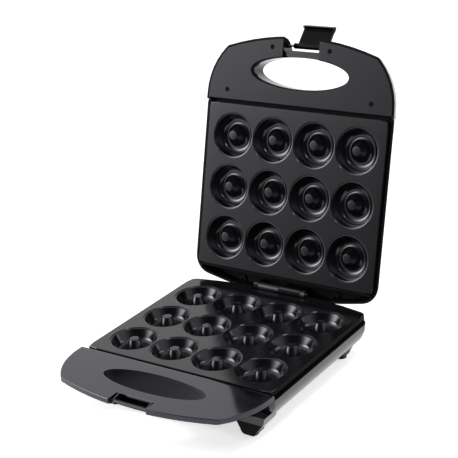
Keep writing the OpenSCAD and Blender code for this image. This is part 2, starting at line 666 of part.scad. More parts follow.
module base_deck() color([0.36, 0.36, 0.38]) on_base_face() difference() {
    union() {
        difference() {
            hull() for (e = [[0, 3], [-0.45, 1.4], [-1.3, 0.45], [-3, 0], [-deck_rim + thin, 0]])
                translate([0, 0, e[0] - thin]) linear_extrude(thin) polygon(handle(e[1], handle_y0 + e[1]));
            slab(-deck_rim - over, -panel_t) difference() {
                polygon(handle(wall, handle_y0 + wall));
                both_x() translate([notch_hw, notch_y]) square([1.6, notch_len]);
            }
        }
        slab(-hole_lip, -panel_t / 2) polygon(oval(hole_wall - 0.2, base_hole_y));
        panel_screw_places() tube_part(-deck_rim - 1.5 + fit, -panel_t / 2, small_screw_d / 2 + 2);
    }
    slab(-hole_lip - over, over) polygon(oval(0, base_hole_y));
    slab(-deck_rim - over, over) notch_shape(notch_hw, handle_y1 + 9, notch_y);
    panel_screw_places() tube_part(-deck_rim - 3, -panel_t, small_screw_d / 2);
}
module base_plate() color([0.16, 0.16, 0.17]) on_base_face() cast_plate(-clip_z - fit);
module base_heater() color([0.55, 0.54, 0.52]) on_base_face() heater();
module base_heater_clips() color([0.7, 0.7, 0.7]) on_base_face() heater_clips();
module base_reflector() color([0.75, 0.75, 0.76]) on_base_face() reflector(sheet_hw, sheet_y0, sheet_y1);
module thermostat() color([0.8, 0.79, 0.75]) on_base_face() translate([0, post_y[1], 0]) {
    tube_part(-sensor_deep - thermostat_h, -sensor_deep, thermostat_d / 2 - 0.8);
    tube_part(-sensor_deep - 1.2, -sensor_deep, thermostat_d / 2);
}
block_x = gland_x - 8;
block_y = 46;
module thermal_fuse() color([0.85, 0.85, 0.82]) on_base_face()
    translate([0, heater_y0 + heater_r + fuse_d / 2, heater_z]) rod(-8, 8, fuse_d / 2);
module terminal_block() color([0.9, 0.9, 0.86]) on_base_face() translate([block_x, block_y, 0])
    difference() {
        slab(-base_deep + wall + fit, -base_deep + wall + 8) round_rect(14, 0, 14, 2);
        for (x = [-9.5, 0, 9.5]) translate([x, 7, 0])
            tube_part(-base_deep + wall + 4, -base_deep + wall + 9, 2.2);
    }
module base_wires() color([0.75, 0.2, 0.15]) on_base_face() {
    wire([[gland_x, gland_y + gland_boss_len + 2, gland_drop], [gland_x - 2, sheet_y0 - 8, wire_z],
        [block_x, block_y - 2.5, wire_z]]);
    wire([[block_x + 9.5, block_y + 16.5, wire_z], [riser_x, heater_y0, wire_z],
        [pin_end_x, heater_y0, heater_z]]);
    wire([[block_x, block_y + 16.5, wire_z], [block_x + 22, block_y + 28, wire_z], [riser_x, heater_y1, wire_z],
        [pin_end_x, heater_y1, heater_z]]);
}
module base_plate_screws() color([0.6, 0.6, 0.6]) on_base_face() post_places() {
    tube_part(-base_deep + 3.5, sheet_z + 8, screw_d / 2 - 0.02);
    tube_part(-base_deep + 0.8, -base_deep + 3.5, screw_d);
}
module base_deck_screws() color([0.6, 0.6, 0.6]) on_base_face() panel_screw_places() {
    tube_part(-screw_seat, -panel_t - 0.4, small_screw_d / 2 - 0.02);
    tube_part(-screw_seat - 1.8, -screw_seat, small_head_d / 2);
}
module foot_pads() color([0.1, 0.1, 0.1]) in_base() both_x()
    for (y = [handle_y1 - front_foot_back, back_foot_fwd])
    translate([foot_x, y, foot_z]) cylinder(h = pad_h - 1.2, r = pad_d / 2);
module cord_gland() color([0.08, 0.08, 0.08]) on_base_face() gland_place() difference() {
    union() {
        translate([0, 0, -gland_boss_len]) cylinder(h = gland_boss_len + 1, r = gland_neck_r);
        translate([0, 0, fit]) cylinder(h = gland_out, r1 = gland_d / 2, r2 = gland_d / 2 - 1.5);
    }
    translate([0, 0, -gland_boss_len - 9]) cylinder(h = gland_boss_len + gland_out + 18, r = gland_bore_d / 2);
}
module hinge_pin() color([0.7, 0.7, 0.72]) in_base() rod(-cheek_x1 - 1, cheek_x1 + 1, hinge_pin_r);

// ---------- lid ----------

module lid_shell() color([0.05, 0.05, 0.055]) in_lid() difference() {
    union() {
        translate([0, 0, lid_face_z]) mirror([0, 0, 1]) {
            difference() {
                union() {
                    lid_form(0, 0);
                    lid_handle_form(0, 0);
                }
                lid_form(wall, 2);
                lid_handle_form(lid_rib, 3);
            }
            difference() {
                rest_frame(lid_rim, lid_hw - 3.4, -lid_back + 0.4, lid_corner_r + 8);
                slab(-lid_rim - wall - over, 0) translate([-lid_hw, -lid_back - over])
                    square([2 * lid_hw, plate_y0 - 2 + lid_back + over]);
            }
            well_wall(-lid_rim_rise - 2, -1);
            intersection() {
                union() {
                    well_wall(-hinge_well - 1, -lid_rim_rise - 1);
                    well_floor();
                }
                lid_form(0.3, 0);
            }
            intersection() {
                union() {
                    hole_tube(lid_hole_y, lid_handle_deep);
                    notch_walls(-lid_handle_deep, -panel_t - fit);
                    slab(-lid_handle_deep, -panel_t - 2)
                        notch_shape(notch_hw + 2, notch_y - 1, lid_hole_y + hole_b + 1);
                    panel_screw_places() tube_part(-lid_handle_deep, -panel_t - 2, small_screw_d / 2 + 2.4);
                }
                lid_handle_form(0.3, 0);
            }
        }
        lid_knuckles();
    }
    translate([0, 0, lid_face_z]) mirror([0, 0, 1]) {
        slab(-lid_deep, 0) polygon(oval(0, lid_hole_y));
        slab(-lid_deep, 0) notch_shape(notch_hw, handle_y1 + 9, notch_y);
        panel_screw_places() tube_part(-lid_handle_deep + wall, 0, small_screw_d / 2);
        lens_places() tube_part(-lid_deep - 9, 0, lens_d / 2 + fit);
        slab(-lid_stop, 0) translate([-stop_hw, -lid_back - over]) square([2 * stop_hw, lid_back + knuckle_r]);
        ear_places() tube_part(-hinge_well - over, 0, ear_hole_d / 2);
    }
    rod(-cheek_x1 - 1, cheek_x1 + 1, hinge_pin_r + run_fit);
    translate([0, pivot_y, pivot_z]) rod(-notch_hw - 8, notch_hw + 8, pin_r + fit / 10);
}
module lid_knuckles() for (x = [[knuckle_gap / 2, knuckle_len + knuckle_gap / 2], [-cheek_x1, -cheek_x0]])
    across(x[0], x[1]) knuckle_profile(1, hinge_well + 1, knuckle_r * 0.8);
// Well behind the plate that the hinge swings in, with two screw ears on its floor
module well_wall(z0, z1) slab(z0, z1) translate([-plate_hw + 1, plate_y0 - 2.5]) square([2 * plate_hw - 2, 2]);
module well_floor() {
    slab(-hinge_well - 2, -hinge_well) translate([-lid_hw, -lid_back - over])
            square([2 * lid_hw, plate_y0 - 0.5 + lid_back + over]);
    ear_places() slab(-hinge_well - 1, -hinge_well + 2) round_rect(4.75, -5, 5, 3);
}
module ear_places() both_x() translate([63, 0.3, 0]) children();
module lens_places() both_x() translate([9, handle_y0 - 58, 0]) children();

module lid_handle_cover() color([0.23, 0.23, 0.24]) on_lid_face() difference() {
    union() {
        slab(-panel_t / 2, 0) polygon(handle(lid_rib + panel_gap, handle_y0 + lid_rib + fit));
        slab(-panel_t, 0) polygon(handle(lid_rib + panel_gap + 0.5, handle_y0 + lid_rib + fit + 0.5));
        slab(-hole_lip, -panel_t / 2) polygon(oval(hole_wall - 0.2, lid_hole_y));
    }
    slab(-hole_lip - over, over) polygon(oval(0, lid_hole_y));
    slab(-hole_lip - over, over) notch_shape(notch_hw, handle_y1 + 9, lid_hole_y + hole_b - 3);
    slab(-hole_lip - over, -panel_t) notch_shape(notch_hw + 2 + fit, handle_y1 + 9, lid_hole_y + hole_b - 4);
    panel_screw_places() {
        tube_part(-panel_t - over, over, small_screw_d / 2 + 0.2);
        tube_part(-panel_t + 0.6, over, small_head_d / 2 + 0.3);
    }
}
module lid_plate() color([0.17, 0.17, 0.18]) on_lid_face() cast_plate(-clip_z - fit);
module lid_heater() color([0.55, 0.54, 0.52]) on_lid_face() heater();
module lid_heater_clips() color([0.7, 0.7, 0.7]) on_lid_face() heater_clips();
module lid_reflector() color([0.75, 0.75, 0.76]) on_lid_face() reflector(sheet_hw, sheet_y0, sheet_y1);
module lid_plate_screws() color([0.6, 0.6, 0.6]) on_lid_face() post_places() {
    tube_part(sheet_z - sheet_t, sheet_z + 8, screw_d / 2 - 0.02);
    tube_part(sheet_z - sheet_t - 2.4, sheet_z - sheet_t, screw_d);
}
module lid_cover_screws() color([0.5, 0.5, 0.5]) on_lid_face() panel_screw_places() {
    tube_part(-panel_t - 9, -panel_t + 0.6, small_screw_d / 2 - 0.02);
    tube_part(-panel_t + 0.6, -panel_t + 1.6, small_head_d / 2);
}
module lamp_lenses() color([0.7, 0.1, 0.08]) on_lid_face() lens_places()
    tube_part(-lid_deep - 0.8, -lid_deep + wall + 1, lens_d / 2);
module neon_lamps() color([0.9, 0.6, 0.4]) on_lid_face() lens_places()
    tube_part(-lid_deep + wall + 1 + fit, -lid_deep + wall + 6, 2);
module lid_wires() color([0.75, 0.2, 0.15]) on_lid_face() {
    for (k = [0, 1]) {
        y = k == 0 ? heater_y0 : heater_y1;
        wire([[12, 31 + 9 * k, wire_z], [sheet_hw + 2.6, y - 8, wire_z], [pin_end_x, y, heater_z]]);
    }
    lens_places() wire([[0, -30, wire_z], [0, 0, wire_z]]);
}
module latch_pin() color([0.7, 0.7, 0.72]) in_lid() translate([0, pivot_y, pivot_z])
    rod(-notch_hw - 6, notch_hw + 6, pin_r);

// ---------- latch ----------

module latch() color([0.07, 0.07, 0.075]) in_latch() difference() {
    union() {
        across(-latch_hw, latch_hw) polygon(latch_profile);
        translate([0, pivot_y, pivot_z]) rod(-latch_hw, latch_hw, boss_r);
    }
    translate([0, pivot_y, pivot_z]) rod(-latch_hw - 1, latch_hw + 1, pin_r + run_fit);
}

base_shell();
base_deck();
base_plate();
base_heater();
base_heater_clips();
base_reflector();
thermostat();
thermal_fuse();
terminal_block();
base_wires();
base_plate_screws();
base_deck_screws();
foot_pads();
cord_gland();
hinge_pin();
lid_shell();
lid_handle_cover();
lid_plate();
lid_heater();
lid_heater_clips();
lid_reflector();
lid_plate_screws();
lid_cover_screws();
lamp_lenses();
neon_lamps();
lid_wires();
latch_pin();
latch();
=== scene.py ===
# %% [markdown]
# # A ring cake maker, dressed in Blender
#
# The engineered model of the maker arrives finished: every piece has its real size, and the lid and the
# latch already turn on their pins. Here it gets its looks. The order is camera first, then light, then
# the plastics and metals, and then the pieces that need more than a colour: the casings, the latch and
# the cast plates.

import json
import math

import bmesh
import bpy
from mathutils import Matrix, Vector


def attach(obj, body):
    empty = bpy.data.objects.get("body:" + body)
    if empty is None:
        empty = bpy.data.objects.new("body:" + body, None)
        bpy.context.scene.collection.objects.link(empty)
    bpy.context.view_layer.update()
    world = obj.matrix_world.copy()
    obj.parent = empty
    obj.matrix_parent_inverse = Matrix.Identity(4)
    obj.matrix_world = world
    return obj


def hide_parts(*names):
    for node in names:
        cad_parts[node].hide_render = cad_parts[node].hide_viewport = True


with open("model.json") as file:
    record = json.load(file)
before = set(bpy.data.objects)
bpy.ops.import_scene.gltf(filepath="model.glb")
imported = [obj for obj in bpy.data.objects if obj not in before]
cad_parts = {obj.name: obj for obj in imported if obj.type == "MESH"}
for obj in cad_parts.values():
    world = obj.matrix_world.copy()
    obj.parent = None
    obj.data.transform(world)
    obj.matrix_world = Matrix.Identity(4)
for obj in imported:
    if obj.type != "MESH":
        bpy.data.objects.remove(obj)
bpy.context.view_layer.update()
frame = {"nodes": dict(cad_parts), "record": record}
nodes = frame["nodes"]
MM = 0.001
print("pieces:", len(nodes))

# %% [markdown]
# ## Where the hinge is
#
# Both halves are laid out from the hinge axis, so its place is read from the joint instead of being typed
# again. The directions of the open lid follow from the angle at which it stands. Sizes of pieces are given
# in millimetres: across from the middle, forwards from the hinge axis, and up from it.

# %% Hinge and lid angle
joints = {joint["name"]: joint for joint in frame["record"]["behaviour"]["joints"]}
HINGE = Vector(joints["lid_hinge"]["pos_m"])
LID_OPEN = math.radians(joints["lid_hinge"]["range_deg"][1])
print("hinge axis", [round(value, 4) for value in HINGE])
print("lid open by", round(math.degrees(LID_OPEN), 1), "degrees")

# %% [markdown]
# ## The camera
#
# A long lens from the front right, a little above, keeps the plates' edges nearly parallel. The camera
# could be aimed with a constraint, but it is set here from its angles, its roll and its place, so that it
# can be set again by hand.

# %% Camera
CAMERA_AZIMUTH = math.radians(35.588)
CAMERA_ELEVATION = math.radians(21.621)
CAMERA_ROLL = math.radians(-4.696)
CAMERA_PLACE = HINGE + Vector((723.5, -1102.2, 602.6)) * MM
LENS = 99.18
SENSOR_WIDTH = 36
FARTHEST_SEEN = 50

backward = Vector((math.sin(CAMERA_AZIMUTH) * math.cos(CAMERA_ELEVATION),
                   -math.cos(CAMERA_AZIMUTH) * math.cos(CAMERA_ELEVATION), math.sin(CAMERA_ELEVATION)))
level_right = (-backward).cross(Vector((0, 0, 1))).normalized()
level_up = level_right.cross(-backward).normalized()
camera_right = level_right * math.cos(CAMERA_ROLL) + level_up * math.sin(CAMERA_ROLL)
camera_up = level_up * math.cos(CAMERA_ROLL) - level_right * math.sin(CAMERA_ROLL)
bpy.ops.object.camera_add()
camera = bpy.context.object
camera.name = "camera"
camera.matrix_world = Matrix((
    (camera_right.x, camera_up.x, backward.x, CAMERA_PLACE.x),
    (camera_right.y, camera_up.y, backward.y, CAMERA_PLACE.y),
    (camera_right.z, camera_up.z, backward.z, CAMERA_PLACE.z),
    (0, 0, 0, 1)))
camera.data.lens = LENS
camera.data.sensor_width = SENSOR_WIDTH
camera.data.clip_end = FARTHEST_SEEN
bpy.context.scene.camera = camera
bpy.context.scene.view_settings.view_transform = "Standard"
print("camera at", [round(value, 3) for value in CAMERA_PLACE])

# %% [markdown]
# ## The room as a mirror image
#
# Glossy black plastic shows little of its own colour: what is seen is the room. So the room gets a shape
# of its own for reflections: it is white at the back, dim behind the viewer, and has one wide soft glow
# high on the left that fades slowly. The glow gives the lid its slow change from light to dark, and it
# draws the arcs in the ring moulds. A picture of a real studio would do the same, but these few nodes can
# be tuned one by one. For rays that aren't reflections the room stays plain, and it is white where the
# camera sees it.

# %% Math nodes
def math_node(tree, operation, *values):
    """Adds a Math node whose inputs are sockets or numbers, and gives its output."""
    node = tree.nodes.new("ShaderNodeMath")
    node.operation = operation
    for socket, value in zip(node.inputs, values):
        if isinstance(value, bpy.types.NodeSocket):
            tree.links.new(value, socket)
        else:
            socket.default_value = value
    return node.outputs[0]


# %% World
GLOW_DIRECTION = (-0.745, -0.505, 0.433)
GLOW_STRENGTH = 17.0
GLOW_NARROWNESS = 20.5
DIM_FRONT, WHITE_BACK = 0.05, 1.15
DIM_UNTIL, WHITE_FROM = -0.75, 0.1
PLAIN_LIGHT = 0.62
SEEN_WHITE = 1.0

world = bpy.data.worlds.new("studio_room")
bpy.context.scene.world = world
world.use_nodes = True
tree = world.node_tree
tree.nodes.clear()
direction = tree.nodes.new("ShaderNodeTexCoord").outputs["Generated"]
towards = tree.nodes.new("ShaderNodeVectorMath")
towards.operation = "DOT_PRODUCT"
towards.inputs[1].default_value = GLOW_DIRECTION
tree.links.new(direction, towards.inputs[0])
split = tree.nodes.new("ShaderNodeSeparateXYZ")
tree.links.new(direction, split.inputs[0])
room = tree.nodes.new("ShaderNodeMapRange")
room.interpolation_type = "SMOOTHSTEP"
for name, value in (("From Min", DIM_UNTIL), ("From Max", WHITE_FROM),
                    ("To Min", DIM_FRONT), ("To Max", WHITE_BACK)):
    room.inputs[name].default_value = value
tree.links.new(split.outputs["Y"], room.inputs["Value"])
fall_off = math_node(tree, "MULTIPLY_ADD", towards.outputs["Value"], GLOW_NARROWNESS, -GLOW_NARROWNESS)
glow = math_node(tree, "MULTIPLY", math_node(tree, "EXPONENT", fall_off), GLOW_STRENGTH)
reflected = math_node(tree, "ADD", glow, room.outputs[0])
light_path = tree.nodes.new("ShaderNodeLightPath").outputs
seen = math_node(tree, "MAXIMUM", light_path["Is Camera Ray"], light_path["Is Transmission Ray"])
plain = math_node(tree, "MULTIPLY_ADD", seen, SEEN_WHITE - PLAIN_LIGHT, PLAIN_LIGHT)
strength = tree.nodes.new("ShaderNodeMix")
tree.links.new(light_path["Is Glossy Ray"], strength.inputs["Factor"])
tree.links.new(plain, strength.inputs["A"])
tree.links.new(reflected, strength.inputs["B"])
background = tree.nodes.new("ShaderNodeBackground")
background.inputs["Color"].default_value = (1, 1, 1, 1)
world_output = tree.nodes.new("ShaderNodeOutputWorld")
tree.links.new(strength.outputs["Result"], background.inputs["Strength"])
tree.links.new(background.outputs[0], world_output.inputs["Surface"])
print("world nodes:", len(tree.nodes))

# %% [markdown]
# ## Lamps
#
# The shadows under the maker are soft and fall to the right, so the light comes from broad panels and not
# from a point. The largest hangs at the front left. It isn't mirrored in the plastic, because the room's
# glow already draws that reflection with softer edges. A small panel above and a tall one behind on the
# right light the edges.


# %% Three soft panels
def soft_lamp(name, place, aim, width, height, watts):
    """A rectangular lamp that looks at a point, with its width along the maker's as near as can be."""
    bpy.ops.object.light_add(type="AREA", location=place)
    lamp = bpy.context.object
    lamp.name = name
    lamp.data.shape = "RECTANGLE"
    lamp.data.size = width
    lamp.data.size_y = height
    lamp.data.energy = watts
    back = (Vector(place) - Vector(aim)).normalized()
    upright = back.cross(Vector((1, 0, 0))).normalized()
    lamp.rotation_euler = Matrix((upright.cross(back), upright, back)).transposed().to_euler()
    return lamp


key_lamp = soft_lamp("key_lamp", (-1.6, -0.9, 1.15), (0, 0.1, 0.2), width=1.0, height=0.7, watts=16)
key_lamp.visible_glossy = False
top_lamp = soft_lamp("top_lamp", (0.8, -0.2, 1.85), (0, 0.05, 0.15), width=0.4, height=0.4, watts=9)
side_lamp = soft_lamp("side_lamp", (1.5, 1.0, 0.9), (0, 0, 0.15), width=0.4, height=1.2, watts=7)
print("lamps:", key_lamp.name, top_lamp.name, side_lamp.name)

# %% [markdown]
# ## The floor
#
# The maker stands on white paper that runs on into a white room. A diffuse floor alone would be greyer
# than the room behind it, so it also glows a little, but only for rays that see it, directly or in a
# reflection. It then looks white without lighting the maker from below, and it still takes the shadows.

# %% Floor
FLOOR_SIZE = 12
FLOOR_GREY = 0.82
FLOOR_LIFT = 0.62

bpy.ops.mesh.primitive_plane_add(size=FLOOR_SIZE, location=(0, 0, 0))
floor = bpy.context.object
floor.name = "floor"
floor_paint = bpy.data.materials.new("floor_paint")
floor_paint.use_nodes = True
tree = floor_paint.node_tree
tree.nodes.clear()
diffuse = tree.nodes.new("ShaderNodeBsdfDiffuse")
diffuse.inputs["Color"].default_value = (FLOOR_GREY, FLOOR_GREY, FLOOR_GREY, 1)
light_path = tree.nodes.new("ShaderNodeLightPath").outputs
seen = math_node(tree, "MAXIMUM", light_path["Is Camera Ray"], light_path["Is Glossy Ray"])
seen = math_node(tree, "MAXIMUM", seen, light_path["Is Transmission Ray"])
emission = tree.nodes.new("ShaderNodeEmission")
tree.links.new(math_node(tree, "MULTIPLY", seen, FLOOR_LIFT), emission.inputs["Strength"])
paint_and_glow = tree.nodes.new("ShaderNodeAddShader")
tree.links.new(diffuse.outputs[0], paint_and_glow.inputs[0])
tree.links.new(emission.outputs[0], paint_and_glow.inputs[1])
floor_output = tree.nodes.new("ShaderNodeOutputMaterial")
tree.links.new(paint_and_glow.outputs[0], floor_output.inputs["Surface"])
floor.data.materials.append(floor_paint)
print("floor", FLOOR_SIZE, "metres wide, lifted by", FLOOR_LIFT)

# %% [markdown]
# ## One skin for every plastic and coating
#
# Moulded plastic and non-stick coating differ in numbers, not in kind: a fine grain, a slow change of
# gloss where hands and steam have been, and a slight change of colour. One node group holds those three
# effects, and each material feeds it its own values, so that a change to the skin is made in one place.


# %% The skin group
def build_skin_group():
    """A node group that gives a colour, a roughness and a grain, each with its own unevenness."""
    group = bpy.data.node_groups.new("moulded_skin", "ShaderNodeTree")
    wanted = (("Vector", "NodeSocketVector", None), ("Colour", "NodeSocketColor", (0.02, 0.02, 0.02, 1)),
              ("Colour Change", "NodeSocketFloat", 0.1), ("Roughness", "NodeSocketFloat", 0.3),
              ("Roughness Change", "NodeSocketFloat", 0.06), ("Patch Scale", "NodeSocketFloat", 14.0),
              ("Grain Scale", "NodeSocketFloat", 1500.0), ("Grain Height", "NodeSocketFloat", 0.02))
    for name, kind, value in wanted:
        socket = group.interface.new_socket(name, in_out="INPUT", socket_type=kind)
        if value is not None:
            socket.default_value = value
    given = (("Colour", "NodeSocketColor"), ("Roughness", "NodeSocketFloat"), ("Grain", "NodeSocketFloat"))
    for name, kind in given:
        group.interface.new_socket(name, in_out="OUTPUT", socket_type=kind)
    make, link = group.nodes.new, group.links.new
    entry, leave = make("NodeGroupInput").outputs, make("NodeGroupOutput").inputs
    patches, grain = make("ShaderNodeTexNoise"), make("ShaderNodeTexNoise")
    for noise, scale, detail in ((patches, "Patch Scale", 3), (grain, "Grain Scale", 2)):
        noise.inputs["Detail"].default_value = detail
        link(entry["Vector"], noise.inputs["Vector"])
        link(entry[scale], noise.inputs["Scale"])
    centred = math_node(group, "SUBTRACT", patches.outputs["Fac"], 0.5)
    gloss = math_node(group, "MULTIPLY_ADD", centred, entry["Roughness Change"], entry["Roughness"])
    gloss.node.use_clamp = True
    shade = math_node(group, "MULTIPLY_ADD", centred, entry["Colour Change"], 1.0)
    tint = make("ShaderNodeVectorMath")
    tint.operation = "SCALE"
    link(entry["Colour"], tint.inputs[0])
    link(shade, tint.inputs["Scale"])
    link(tint.outputs[0], leave["Colour"])
    link(gloss, leave["Roughness"])
    link(math_node(group, "MULTIPLY", grain.outputs["Fac"], entry["Grain Height"]), leave["Grain"])
    print("nodes in the skin:", len(group.nodes))
    return group


skin_group = build_skin_group()

# %% A material from the skin
GRAIN_DEPTH = 0.0004
finishes = {}


def skin(name, colour, roughness, change=0.1, gloss_change=0.06, patch=14.0, grain=1500.0, height=0.02,
         metallic=0.0, coat=0.0, coat_roughness=0.05, specular=0.5, gleam=(1, 1, 1)):
    """Makes a finish that wears the skin group with its own values; the gleam tints its reflections."""
    material = bpy.data.materials.new(name)
    material.use_nodes = True
    nodes_of, link = material.node_tree.nodes, material.node_tree.links.new
    shader = nodes_of["Principled BSDF"]
    place = nodes_of.new("ShaderNodeTexCoord")
    effect = nodes_of.new("ShaderNodeGroup")
    effect.node_tree = skin_group
    bump = nodes_of.new("ShaderNodeBump")
    bump.inputs["Distance"].default_value = GRAIN_DEPTH
    values = (("Colour", (*colour, 1)), ("Colour Change", change), ("Roughness", roughness),
              ("Roughness Change", gloss_change), ("Patch Scale", patch), ("Grain Scale", grain),
              ("Grain Height", height))
    for socket, value in values:
        effect.inputs[socket].default_value = value
    link(place.outputs["Object"], effect.inputs["Vector"])
    link(effect.outputs["Colour"], shader.inputs["Base Color"])
    link(effect.outputs["Roughness"], shader.inputs["Roughness"])
    link(effect.outputs["Grain"], bump.inputs["Height"])
    link(bump.outputs["Normal"], shader.inputs["Normal"])
    shader.inputs["Metallic"].default_value = metallic
    shader.inputs["Coat Weight"].default_value = coat
    shader.inputs["Coat Roughness"].default_value = coat_roughness
    shader.inputs["Specular IOR Level"].default_value = specular
    shader.inputs["Specular Tint"].default_value = (*gleam, 1)
    finishes[name] = material


# %% [markdown]
# ## The finishes
#
# The outside of the lid and the deck of the front handle are polished black, the lower casing is a little
# less glossy, and the lid's handle panel is satin. The plates carry a non-stick coating that is smooth
# but not shiny. The legs and the latch are duller, and the pockets and tunnels get darker, dull finishes
# that are painted shade. The rest mostly hides inside: bare and blackened steel, sheet metal, a heat-tinted
# element, ceramic and silicone. Black plastic has next to no colour of its own, so the faint blue of the
# real thing lies in the tint of its reflections.

# %% Plastics and coating
COOL = (0.92, 0.93, 1.0)
COOLER = (0.82, 0.85, 1.0)
skin("gloss_black", (0.004, 0.004, 0.005), 0.09, gloss_change=0.03, grain=900, height=0.004, gleam=COOL)
skin("deck_black", (0.0015, 0.0015, 0.003), 0.08, gloss_change=0.03, grain=900, height=0.004, specular=0.62,
     gleam=COOLER)
skin("satin_black", (0.006, 0.006, 0.0075), 0.22, grain=2600, height=0.04, specular=0.3, gleam=COOL)
skin("shell_side", (0.012, 0.012, 0.014), 0.2, gloss_change=0.04, grain=1800, height=0.01, specular=0.7,
     gleam=COOL)
skin("nonstick", (0.004, 0.004, 0.005), 0.15, change=0.3, gloss_change=0.04, grain=3200, height=0.02,
     patch=22, specular=0.4, gleam=COOL)
# Painted shade: a near-black, dull finish for the hollows, slots, rims and gaps that lie in shade.
skin("painted_shade_black", (0.002, 0.002, 0.002), 0.6, grain=1400, height=0.05, specular=0.06)
# Painted shade: a darker, duller finish for the wall of the lower hand hole's tunnel, which lies in shade.
skin("tunnel_painted_shade", (0.009, 0.009, 0.011), 0.4, grain=1400, height=0.03, specular=0.16, gleam=COOL)
skin("latch_black", (0.0015, 0.0015, 0.0015), 0.24, grain=1800, height=0.03, specular=0.06)
skin("leg_black", (0.001, 0.001, 0.0012), 0.35, grain=1800, height=0.03, specular=0.04)
print("plastics:", len(finishes))

# %% Metals, rubber, ceramic and lamps
skin("blackened_steel", (0.003, 0.003, 0.003), 0.5, change=0.3, grain=2000, height=0.05, specular=0.04)
skin("steel", (0.55, 0.55, 0.56), 0.28, metallic=1.0, grain=2400, height=0.03)
skin("sheet", (0.7, 0.7, 0.71), 0.34, metallic=1.0, grain=900, height=0.02)
skin("element", (0.3, 0.27, 0.24), 0.4, metallic=1.0, change=0.5, grain=1200, height=0.05)
skin("rubber", (0.015, 0.015, 0.015), 0.7, grain=2200, height=0.15)
skin("ceramic", (0.8, 0.79, 0.74), 0.55, grain=1600, height=0.08)
skin("insulation", (0.45, 0.05, 0.03), 0.5, grain=1500, height=0.05)
skin("lens", (0.5, 0.02, 0.015), 0.08, grain=700, height=0.01, coat=0.5)
skin("lamp", (0.8, 0.45, 0.25), 0.1, grain=600, height=0.01)
print("finishes:", len(finishes))

# %% Finish every piece
own_finish = {"base_shell": "shell_side", "base_deck": "deck_black", "latch": "latch_black",
              "lid_cover_screws": "blackened_steel"}
for part in frame["record"]["subparts"]:
    thing = nodes[part["node"]]
    thing.data.materials.clear()
    thing.data.materials.append(finishes[own_finish.get(part["node"], part["material_slot"])])

# %% [markdown]
# ## Edges that catch the light
#
# A moulded edge is never knife sharp. Each visible moulding is copied from its engineered node, its
# triangles are merged into clean faces, and a narrow bevel rounds what is left sharp. That thin bright
# line along the edges is what makes black plastic readable. Weighted normals keep the large faces level,
# so that only the bevels bend the reflections. Modelling each moulding anew would give finer meshes, but
# copies keep the engineered shapes.


# %% Helpers for whole pieces
def only(thing):
    """Makes one object the selected and active one."""
    bpy.ops.object.select_all(action="DESELECT")
    thing.select_set(True)
    bpy.context.view_layer.objects.active = thing


def apply(piece, kind, name, **settings):
    """Adds a modifier with its settings and applies it."""
    modifier = piece.modifiers.new(name, kind)
    for key, value in settings.items():
        setattr(modifier, key, value)
    only(piece)
    bpy.ops.object.modifier_apply(modifier=modifier.name)


def body_of(node):
    """The moving body that a node belongs to."""
    for body, members in frame["record"]["behaviour"]["bodies"].items():
        if node in members:
            return body
    raise KeyError(node)


# %% Copy and soften a piece
MERGE_DISTANCE = 0.02
FLAT_WITHIN = math.radians(0.5)
SMOOTH_UNDER = math.radians(40)
BEVEL_OVER = math.radians(42)
BEVEL_SEGMENTS = 2
LEVEL_WEIGHT = 50


def soften(node, width, reshape=None):
    """A copy of a node with merged faces and rounded edges, which stands for the node."""
    source = nodes[node]
    piece = source.copy()
    piece.data = source.data.copy()
    piece.name = node + "_finished"
    piece.parent = None
    bpy.context.collection.objects.link(piece)
    only(piece)
    if piece.data.has_custom_normals:
        bpy.ops.mesh.customdata_custom_splitnormals_clear()
    bpy.ops.object.mode_set(mode="EDIT")
    bpy.ops.mesh.select_all(action="SELECT")
    bpy.ops.mesh.remove_doubles(threshold=MERGE_DISTANCE * MM)
    if reshape:
        bpy.ops.object.mode_set(mode="OBJECT")
        reshape(piece)
        bpy.ops.object.mode_set(mode="EDIT")
        bpy.ops.mesh.select_all(action="SELECT")
    bpy.ops.mesh.dissolve_limited(angle_limit=FLAT_WITHIN)
    bpy.ops.object.mode_set(mode="OBJECT")
    bpy.ops.object.shade_smooth_by_angle(angle=SMOOTH_UNDER)
    apply(piece, "BEVEL", "edges", width=width * MM, segments=BEVEL_SEGMENTS, limit_method="ANGLE",
          angle_limit=BEVEL_OVER, use_clamp_overlap=True)
    bpy.ops.object.shade_smooth_by_angle(angle=SMOOTH_UNDER)
    apply(piece, "WEIGHTED_NORMAL", "level faces", keep_sharp=True, weight=LEVEL_WEIGHT)
    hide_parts(node)
    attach(piece, body_of(node))
    print(node, "finished with", len(piece.data.polygons), "faces")
    return piece


# %% [markdown]
# ## A tighter edge for the deck
#
# The top of the front handle is a polished panel whose outer edge turns down in a round of about a
# millimetre. The engineered panel rounds off more widely there, which would mirror a broad band of the
# bright room. The points of its round are drawn out towards the outline, where the rounding ends, and up
# by the same share. That keeps the outline, the hand hole and the latch notch as they are, which a newly
# drawn panel would have to copy.

# %% Tighten the deck's edge
BASE_FACE = -1.1
DECK_ROUNDING = 3.0
DECK_TIGHTER = 0.38
OUTLINE_SLACK = 0.06
DEPTH_SLACK = 0.1
REACH_SLACK = 0.35


def tighten_deck(piece):
    """Pulls the round of the deck's outer edge out towards its outline."""
    placed = [(vertex, (vertex.co - HINGE) / MM) for vertex in piece.data.vertices]
    outline = [Vector(point.xy) for vertex, point in placed
               if abs(BASE_FACE - point.z - DECK_ROUNDING) < OUTLINE_SLACK]
    moved = 0
    for vertex, point in placed:
        depth = BASE_FACE - point.z
        if depth > DECK_ROUNDING - DEPTH_SLACK:
            continue
        nearest = min(outline, key=lambda other: (other - point.xy).length_squared)
        if (nearest - point.xy).length > DECK_ROUNDING + REACH_SLACK:
            continue
        flat = nearest + (point.xy - nearest) * DECK_TIGHTER
        vertex.co = HINGE + Vector((flat.x, flat.y, BASE_FACE - depth * DECK_TIGHTER)) * MM
        moved += 1
    print("deck edge points moved:", moved)
